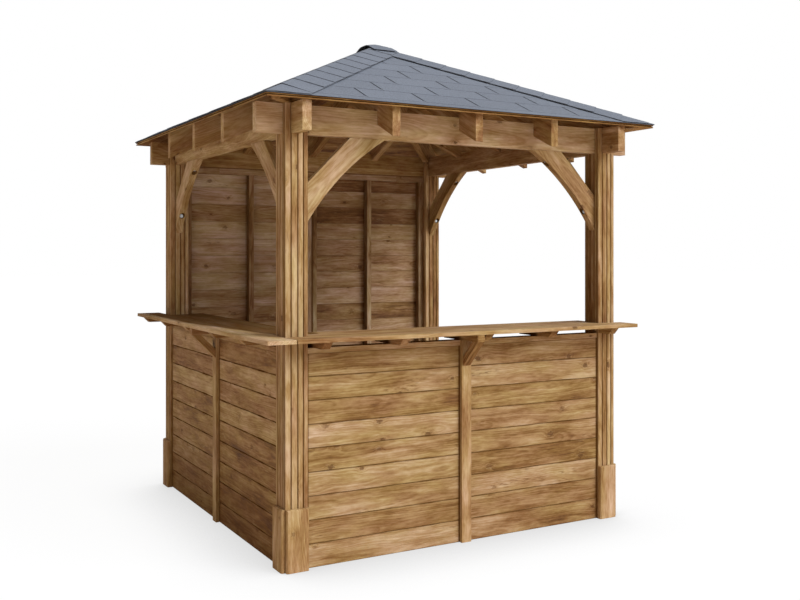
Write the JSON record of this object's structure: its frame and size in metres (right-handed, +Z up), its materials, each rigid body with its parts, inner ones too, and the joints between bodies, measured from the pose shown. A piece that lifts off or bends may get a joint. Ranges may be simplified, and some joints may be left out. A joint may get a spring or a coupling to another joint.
{
  "type": "outdoor garden bar",
  "caption": "Square timber garden bar: grooved corner posts, arched knee braces, boarded walls, counters on the front and left, open at the right, under a shingled pyramid roof.",
  "frame": {"origin": "on the ground at the middle of the square footprint, which is also under the middle of the roof", "axes": "+X towards the open right side, -Y towards the front counter, +Z up"},
  "size_m": [2.408, 2.408, 2.8648],
  "materials": {
    "timber": "matt stained softwood, planed",
    "boards": "matt stained softwood boards",
    "deck": "matt stained softwood boards, darker underneath",
    "counter": "matt stained softwood, eased edges",
    "shingles": "rough mineral-faced roof shingle, slate grey"
  },
  "bodies": {
    "root": {"apex_cap": "shingles", "beam_back": "timber", "beam_front": "timber", "beam_left": "timber", "beam_right": "timber", "bearers_front": "timber", "bearers_left": "timber", "brace_front_left": "timber", "brace_front_right": "timber", "brace_left_back": "timber", "brace_left_front": "timber", "brace_right_back": "timber", "brace_right_front": "timber", "cap_rails": "timber", "counter_front": "counter", "counter_left": "counter", "counter_struts": "timber", "hip_caps": "shingles", "hip_rafter_back_left": "timber", "hip_rafter_back_right": "timber", "hip_rafter_front_left": "timber", "hip_rafter_front_right": "timber", "plinths_back": "timber", "plinths_front": "timber", "post_back_left": "timber", "post_back_right": "timber", "post_front_left": "timber", "post_front_right": "timber", "rafters_back": "timber", "rafters_front": "timber", "rafters_left": "timber", "rafters_right": "timber", "roof_deck_back": "deck", "roof_deck_front": "deck", "roof_deck_left": "deck", "roof_deck_right": "deck", "roof_shingles": "shingles", "wall_battens": "timber", "wall_boards_back": "boards", "wall_boards_front": "boards", "wall_boards_left": "boards", "wall_frame_back": "timber", "wall_frame_front": "timber", "wall_frame_left": "timber"}
  },
  "joints": []
}
